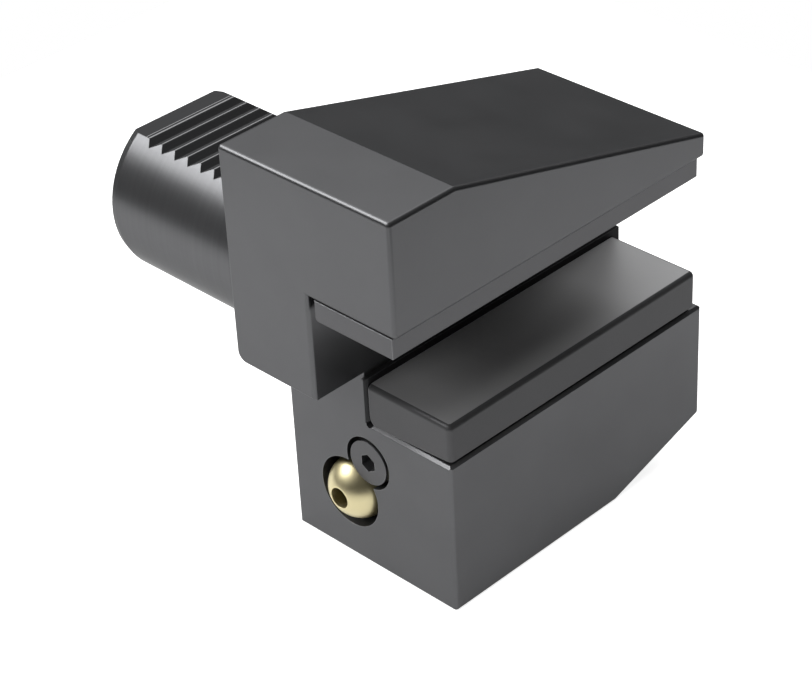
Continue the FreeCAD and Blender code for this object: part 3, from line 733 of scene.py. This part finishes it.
class HOLDER_OT_retaining_screws(bpy.types.Operator):
    """Two knurled socket head screws that hold the bar"""

    bl_idname = "holder.retaining_screws"
    bl_label = "Retaining screws"

    def execute(self, context):
        sizes = context.scene.holder_sizes
        head_height = 2 * sizes.retainer_radius
        length = 35 * MM
        knurl_edge = 0.06 * MM
        knurl_depth = 0.10 * MM
        head_bevel = 0.3 * MM
        tip_bevel = 0.6 * MM
        screw = cylinder(sizes.retainer_head, 0, head_height, sides=72)
        bevel_rim(screw, 0, head_bevel, 2)
        editing(screw)
        choose(lambda face: abs(face.normal.z) < 0.1 and face.index % 2 == 0)
        bpy.ops.mesh.inset(thickness=knurl_edge, use_individual=True, depth=-knurl_depth)
        choose(lambda face: face.normal.z > 0.9 and level(head_height)(face))
        bpy.ops.mesh.inset(thickness=sizes.retainer_head - sizes.retainer_radius)
        bpy.ops.mesh.extrude_region_move(
            TRANSFORM_OT_translate={"value": (0, 0, length - head_height)})
        bpy.ops.object.mode_set(mode="OBJECT")
        bevel_rim(screw, length, tip_bevel, 1)
        hexagon_socket(screw, across_flats=4 * MM, depth=2.6 * MM)
        set_out_screws(
            screw, "knurled_retainer_screw_", "bar_retainer_screw_", END_SPOTS, "clamp_bar")
        return {"FINISHED"}


class HOLDER_OT_return_springs(bpy.types.Operator):
    """Two coil springs that pull the bar down"""

    bl_idname = "holder.return_springs"
    bl_label = "Return springs"

    def execute(self, context):
        sizes = context.scene.holder_sizes
        half = sizes.spring_wire / 2
        free_length = 14 * MM
        top = -30 * MM
        turns = 6
        wire_sides = 12
        corners = [
            (sizes.spring_radius + half * math.cos(math.tau * side / wire_sides),
             half + half * math.sin(math.tau * side / wire_sides)) for side in range(wire_sides)]
        spring = helix(corners, turns, (free_length - sizes.spring_wire) / turns, steps=32)
        for spot in END_SPOTS:
            node_name = "bar_return_spring_" + spot
            middle = middle_of("bar_retainer_screw_" + spot)
            piece = copy_of(spring)
            move(piece, (middle.x, middle.y, top - free_length))
            hand_over(
                piece, "coil_spring_" + spot, "holder", "spring_steel", "drawn_wire", node_name)
            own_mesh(piece)
        bpy.data.objects.remove(spring, do_unlink=True)
        return {"FINISHED"}


def countersunk(radius, length, head_radius, rim, across_flats, socket_depth, mouth_share=0.12):
    """Countersunk screw whose foot, at the origin, is its head's flat face."""
    rim_round = 0.12 * MM
    tip_bevel = 0.5 * MM
    screw = cylinder(head_radius, 0, rim, sides=96)
    bevel_rim(screw, 0, rim_round)
    editing(screw)
    choose(lambda face: face.normal.z > 0.9 and level(rim)(face))
    bpy.ops.mesh.extrude_region_move(
        TRANSFORM_OT_translate={"value": (0, 0, head_radius - radius)})
    bpy.ops.transform.resize(value=(radius / head_radius, radius / head_radius, 1))
    bpy.ops.mesh.extrude_region_move(
        TRANSFORM_OT_translate={"value": (0, 0, length - rim - head_radius + radius)})
    bpy.ops.object.mode_set(mode="OBJECT")
    bevel_rim(screw, length, tip_bevel, 1)
    hexagon_socket(screw, across_flats, socket_depth, mouth_share)
    return screw


class HOLDER_OT_plate_screws(bpy.types.Operator):
    """Three countersunk screws that hold the support plate"""

    bl_idname = "holder.plate_screws"
    bl_label = "Support plate screws"

    def execute(self, context):
        screw = countersunk(
            radius=2 * MM, length=8 * MM, head_radius=3.8 * MM, rim=0.4 * MM,
            across_flats=2.5 * MM, socket_depth=1.5 * MM)
        set_out_screws(screw, "countersunk_plate_screw_", "support_plate_screw_", SPOTS, "holder")
        return {"FINISHED"}


class HOLDER_OT_nozzle_ball(bpy.types.Operator):
    """Brass ball that is drilled through, with rounded mouths"""

    bl_idname = "holder.nozzle_ball"
    bl_label = "Nozzle ball"

    def execute(self, context):
        sizes = context.scene.holder_sizes
        lip = 0.22 * MM
        lip_round = ((0.35, 0.1), (0.0, 1.0))
        arcs = 56
        start = math.asin((sizes.jet_radius + lip) / sizes.ball_radius)
        angles = [start + (math.pi - 2 * start) * step / arcs for step in range(arcs + 1)]
        outside = [
            (sizes.ball_radius * math.sin(angle), sizes.ball_radius * math.cos(angle))
            for angle in angles]
        mouth = outside[0][1]
        lower_lip = [
            (sizes.jet_radius + across * lip, -mouth + up * lip) for across, up in lip_round]
        upper_lip = [(across, -up) for across, up in reversed(lower_lip)]
        ball = turned_ring(outside + lower_lip + upper_lip)
        move(ball, middle_of("nozzle_ball"), Matrix.Rotation(math.radians(90), 4, "X"))
        hand_over(ball, "drilled_brass_ball", "nozzle", "brass", "turned_brass", "nozzle_ball")
        return {"FINISHED"}


class HOLDER_OT_keeper_screw(bpy.types.Operator):
    """Countersunk screw whose rim keeps the ball in"""

    bl_idname = "holder.keeper_screw"
    bl_label = "Nozzle keeper screw"

    def execute(self, context):
        keeper = countersunk(
            radius=2.5 * MM, length=12 * MM, head_radius=5 * MM, rim=0.55 * MM,
            across_flats=3.6 * MM, socket_depth=2.2 * MM, mouth_share=0)
        middle = middle_of("nozzle_keeper_screw")
        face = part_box("nozzle_keeper_screw")[0][1]
        move(keeper, (middle.x, face, middle.z), Matrix.Rotation(math.radians(-90), 4, "X"))
        hand_over(
            keeper, "countersunk_keeper_screw", "holder", "screw_steel",
            "blackened_screw", "nozzle_keeper_screw")
        return {"FINISHED"}


class HOLDER_OT_seal_rings(bpy.types.Operator):
    """Rubber on the rings at the shank and behind the ball"""

    bl_idname = "holder.seal_rings"
    bl_label = "Seal rings"

    def execute(self, context):
        dress("shank_seal_ring", "ring_rubber")
        dress("nozzle_seal_ring", "ring_rubber")
        return {"FINISHED"}


class HOLDER_OT_gallery_plug(bpy.types.Operator):
    """Socket plug in the underside, at the mouth of the coolant drilling"""

    bl_idname = "holder.gallery_plug"
    bl_label = "Gallery plug"

    def execute(self, context):
        node_name = "coolant_gallery_plug"
        radius = 4 * MM
        length = 8 * MM
        edge_round = 0.4 * MM
        plug = cylinder(radius, 0, length, sides=64)
        bevel_rim(plug, 0, edge_round, 2)
        bevel_rim(plug, length, edge_round, 2)
        hexagon_socket(plug, across_flats=4 * MM, depth=4 * MM)
        middle = middle_of(node_name)
        move(plug, (middle.x, middle.y, lowest_of(node_name)))
        hand_over(
            plug, "hexagon_gallery_plug", "holder", "screw_steel", "blackened_screw", node_name)
        return {"FINISHED"}


# Studio


def softbox(name, toward, distance, side, power, mirrored=True):
    """Square lamp that shines from a direction on the middle of the holder."""
    target = Vector((0.0, 0.01, -0.01))
    direction = Vector(toward).normalized()
    nothing_selected()
    bpy.ops.object.light_add(type="AREA", location=target + direction * distance)
    lamp = bpy.context.object
    lamp.name = name
    lamp.data.shape = "SQUARE"
    lamp.data.size = side
    lamp.data.energy = power
    lamp.visible_glossy = mirrored
    lamp.rotation_mode = "QUATERNION"
    lamp.rotation_quaternion = direction.to_track_quat("Z", "Y")


def paper():
    """White floor that the camera and glossy metal see as white, with the object's shadow."""
    material = bpy.data.materials.new("studio_paper")
    paint = Paint(material)
    path = paint.node("LightPath")
    seen = Signal(paint, path.outputs["Is Camera Ray"])
    glossy = Signal(paint, path.outputs["Is Glossy Ray"])
    through = Signal(paint, path.outputs["Is Transmission Ray"])
    white = paint.node("Emission", None, {
        "Color": (1, 1, 1, 1), "Strength": 0.86 * seen + 0.5 * glossy + 0.5 * through})
    matt = paint.node("BsdfDiffuse", None, {"Color": (0.62, 0.62, 0.62, 1)})
    both = paint.node("AddShader")
    paint.tree.links.new(white.outputs[0], both.inputs[0])
    paint.tree.links.new(matt.outputs[0], both.inputs[1])
    output = paint.node("OutputMaterial")
    paint.tree.links.new(both.outputs[0], output.inputs["Surface"])
    return material


def surroundings():
    """White to the camera; to the steel, a dim room with a window high on the left."""
    world = bpy.data.worlds.new("studio")
    bpy.context.scene.world = world
    paint = Paint(world)
    direction = paint.signal("TexCoord", "Generated")
    split = paint.node("SeparateXYZ", None, {"Vector": direction})
    across = Signal(paint, split.outputs["X"])
    up = Signal(paint, split.outputs["Z"])
    room = 0.03
    ceiling = 0.05
    window = 1.45
    high = up.above(0.30, 0.64)
    left = (0.0 - across).above(-0.05, 0.45)
    glow = room + window * high * left + ceiling * high
    seen = paint.signal("LightPath", "Is Camera Ray")
    strength = seen + (1 - seen) * glow
    light = paint.node("Background", None, {"Color": (1, 1, 1, 1), "Strength": strength})
    output = paint.node("OutputWorld")
    paint.tree.links.new(light.outputs[0], output.inputs["Surface"])


def place_camera(scene):
    """Adds a camera that sees the holder as the photograph does."""
    forward = Vector(CAMERA_FORWARD).normalized()
    right = Vector(CAMERA_RIGHT).normalized()
    up = right.cross(forward)
    turn = Matrix((right, up, -forward)).transposed()
    bpy.ops.object.camera_add(location=CAMERA_PLACE)
    camera = bpy.context.object
    camera.name = "camera"
    camera.rotation_mode = "QUATERNION"
    camera.rotation_quaternion = turn.to_quaternion()
    camera.data.sensor_width = SENSOR_WIDTH
    camera.data.lens = SENSOR_WIDTH * FOCAL_PIXELS / FRAME_PIXELS
    camera.data.clip_start = 0.01
    camera.data.clip_end = 20
    scene.camera = camera


class HOLDER_OT_stage(bpy.types.Operator):
    """White floor, soft light and the camera"""

    bl_idname = "holder.stage"
    bl_label = "Floor, light and camera"

    def execute(self, context):
        nothing_selected()
        floor_width = 0.42
        bpy.ops.mesh.primitive_plane_add(size=floor_width, location=(0, 0, -BLOCK_DROP))
        floor = bpy.context.object
        floor.name = "studio_floor"
        bpy.ops.object.transform_apply(location=True, rotation=True, scale=True)
        floor.data.materials.append(paper())
        surroundings()
        softbox("key_softbox", (-0.60, -0.35, 0.72), distance=0.75, side=0.45, power=3.7)
        softbox(
            "near_softbox", (0.02, -0.84, 0.54),
            distance=0.80, side=0.35, power=2.9, mirrored=False)
        softbox(
            "far_softbox", (0.00, 0.82, 0.58),
            distance=0.70, side=0.30, power=3.3, mirrored=False)
        place_camera(context.scene)
        context.scene.view_settings.view_transform = "Standard"
        return {"FINISHED"}


STEPS = (
    HOLDER_OT_steel_pieces,
    HOLDER_OT_clamping_bar,
    HOLDER_OT_clamping_screws,
    HOLDER_OT_retaining_screws,
    HOLDER_OT_return_springs,
    HOLDER_OT_plate_screws,
    HOLDER_OT_nozzle_ball,
    HOLDER_OT_keeper_screw,
    HOLDER_OT_seal_rings,
    HOLDER_OT_gallery_plug,
    HOLDER_OT_stage,
)


class HOLDER_PT_pieces(bpy.types.Panel):
    """Lists the steps that dress the holder"""

    bl_idname = "HOLDER_PT_pieces"
    bl_label = "Tool holder"
    bl_space_type = "VIEW_3D"
    bl_region_type = "UI"
    bl_category = "Tool holder"

    def draw(self, context):
        for group in (context.scene.holder_sizes, context.scene.holder_colours):
            for name in group.bl_rna.properties.keys():
                if name not in ("rna_type", "name"):
                    self.layout.prop(group, name)
        for step in STEPS:
            self.layout.operator(step.bl_idname)


CLASSES = (HolderSizes, HolderColours, *STEPS, HOLDER_PT_pieces)


def register():
    for made in CLASSES:
        bpy.utils.register_class(made)
    bpy.types.Scene.holder_sizes = bpy.props.PointerProperty(type=HolderSizes)
    bpy.types.Scene.holder_colours = bpy.props.PointerProperty(type=HolderColours)


def unregister():
    del bpy.types.Scene.holder_sizes
    del bpy.types.Scene.holder_colours
    for made in reversed(CLASSES):
        bpy.utils.unregister_class(made)


def main():
    register()
    bpy.ops.holder.steel_pieces()
    bpy.ops.holder.clamping_bar()
    bpy.ops.holder.clamping_screws()
    bpy.ops.holder.retaining_screws()
    bpy.ops.holder.return_springs()
    bpy.ops.holder.plate_screws()
    bpy.ops.holder.nozzle_ball()
    bpy.ops.holder.keeper_screw()
    bpy.ops.holder.seal_rings()
    bpy.ops.holder.gallery_plug()
    bpy.ops.holder.stage()


if __name__ == "__main__":
    main()
